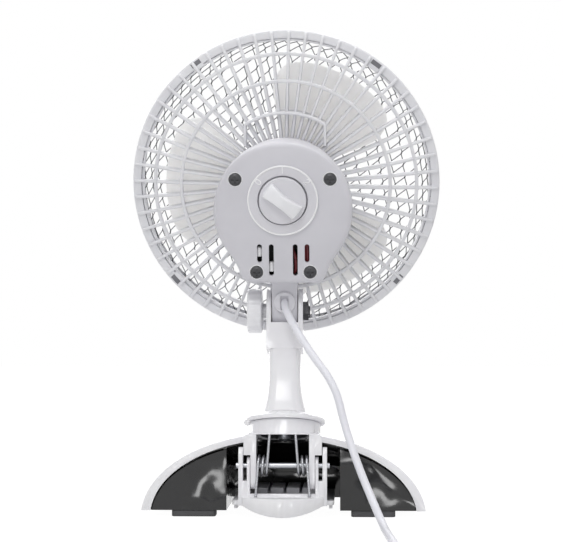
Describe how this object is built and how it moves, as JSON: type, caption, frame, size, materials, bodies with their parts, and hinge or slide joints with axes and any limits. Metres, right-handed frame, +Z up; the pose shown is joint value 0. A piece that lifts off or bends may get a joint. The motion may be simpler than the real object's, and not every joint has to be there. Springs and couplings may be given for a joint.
{
  "type": "clip fan",
  "caption": "Small electric fan on a swivel stem with a domed base that stands on a table or clips to a shelf edge, with cord and plug.",
  "frame": {"origin": "on the table, in the middle of the box round the fan without its free cord, coil and plug", "axes": "+Z up, -Y the way the air leaves, +Y the side with the speed knob and the clip's handle"},
  "size_m": [0.19, 0.3756, 0.2943],
  "materials": {
    "cage_plastic": "satin white",
    "mesh_steel": "dull wire",
    "badge_plastic": "gloss",
    "blade_plastic": "gloss white",
    "steel": "bright zinc",
    "core_steel": "varnished",
    "coil_winding": "taped",
    "bush_bronze": "satin",
    "housing_plastic": "satin white",
    "dark_screw": "dark zinc",
    "dial_plastic": "satin white",
    "knob_plastic": "satin white",
    "switch_plastic": "matte",
    "wire_plastic": "matte",
    "stem_plastic": "satin white",
    "grommet_plastic": "matte",
    "base_plastic": "gloss white",
    "liner_plastic": "gloss charcoal",
    "foot_rubber": "matte",
    "pad_rubber": "matte",
    "spring_steel": "wire",
    "cord_plastic": "satin white",
    "pin_brass": "nickelled"
  },
  "bodies": {
    "base": {"base_shell": "base_plastic", "base_liner": "liner_plastic", "base_screws": "steel", "rubber_feet": "foot_rubber", "hinge_pin": "steel", "spring_left": "spring_steel", "spring_right": "spring_steel", "cord": "cord_plastic", "cord_coil": "cord_plastic", "plug": "cord_plastic", "plug_pins": "pin_brass"},
    "stem": {"stem": "stem_plastic", "swivel_washer": "steel", "swivel_screw": "steel", "tilt_nut": "steel", "tilt_washers": "stem_plastic"},
    "clamp_knob": {"tilt_knob": "knob_plastic", "tilt_bolt": "steel"},
    "head": {"front_rim": "cage_plastic", "front_mesh": "mesh_steel", "front_badge": "badge_plastic", "rear_guard": "cage_plastic", "motor_core": "core_steel", "motor_coil": "coil_winding", "motor_bracket_front": "steel", "motor_bracket_rear": "steel", "bush_front": "bush_bronze", "bush_rear": "bush_bronze", "motor_screws": "steel", "motor_housing": "housing_plastic", "rear_cover": "housing_plastic", "cover_screws": "dark_screw", "dial_ring": "dial_plastic", "switch_body": "switch_plastic", "lead_wires": "wire_plastic", "splice_caps": "switch_plastic", "cord_grommet": "grommet_plastic"},
    "fan": {"fan_blade": "blade_plastic", "blade_nut": "blade_plastic", "motor_shaft": "steel", "motor_rotor": "core_steel"},
    "knob": {"speed_knob": "knob_plastic", "switch_shaft": "switch_plastic"},
    "lever": {"clip_lever": "base_plastic", "jaw_pad": "pad_rubber"}
  },
  "joints": [
    {"name": "stem_swivel", "type": "hinge", "parent": "base", "child": "stem", "pos_m": [0, 0.0165, 0.0538], "axis": [0, -0.2164, 0.9763], "range_deg": [-60, 60], "deforming": ["cord"]},
    {"name": "head_tilt", "type": "hinge", "parent": "stem", "child": "head", "pos_m": [0, 0.00144, 0.12175], "axis": [1, 0, 0], "range_deg": [-15, 45], "deforming": ["cord"]},
    {"name": "clamp_knob_turn", "type": "hinge", "parent": "stem", "child": "clamp_knob", "pos_m": [0, 0.00144, 0.12175], "axis": [1, 0, 0], "range_deg": [-180, 180]},
    {"name": "blade_spin", "type": "hinge", "parent": "head", "child": "fan", "pos_m": [0, -0.00197, 0.19884], "axis": [0, 0.965, -0.2622], "continuous": true},
    {"name": "knob_turn", "type": "hinge", "parent": "head", "child": "knob", "pos_m": [0, -0.00197, 0.19884], "axis": [0, -0.965, 0.2622], "range_deg": [0, 104]},
    {"name": "clip_open", "type": "hinge", "parent": "base", "child": "lever", "pos_m": [0, 0.041, 0.0306], "axis": [1, 0, 0], "range_deg": [0, 30], "stiffness_Nm_per_rad": 1, "springref_deg": -45.84, "deforming": ["spring_left", "spring_right"]}
  ]
}
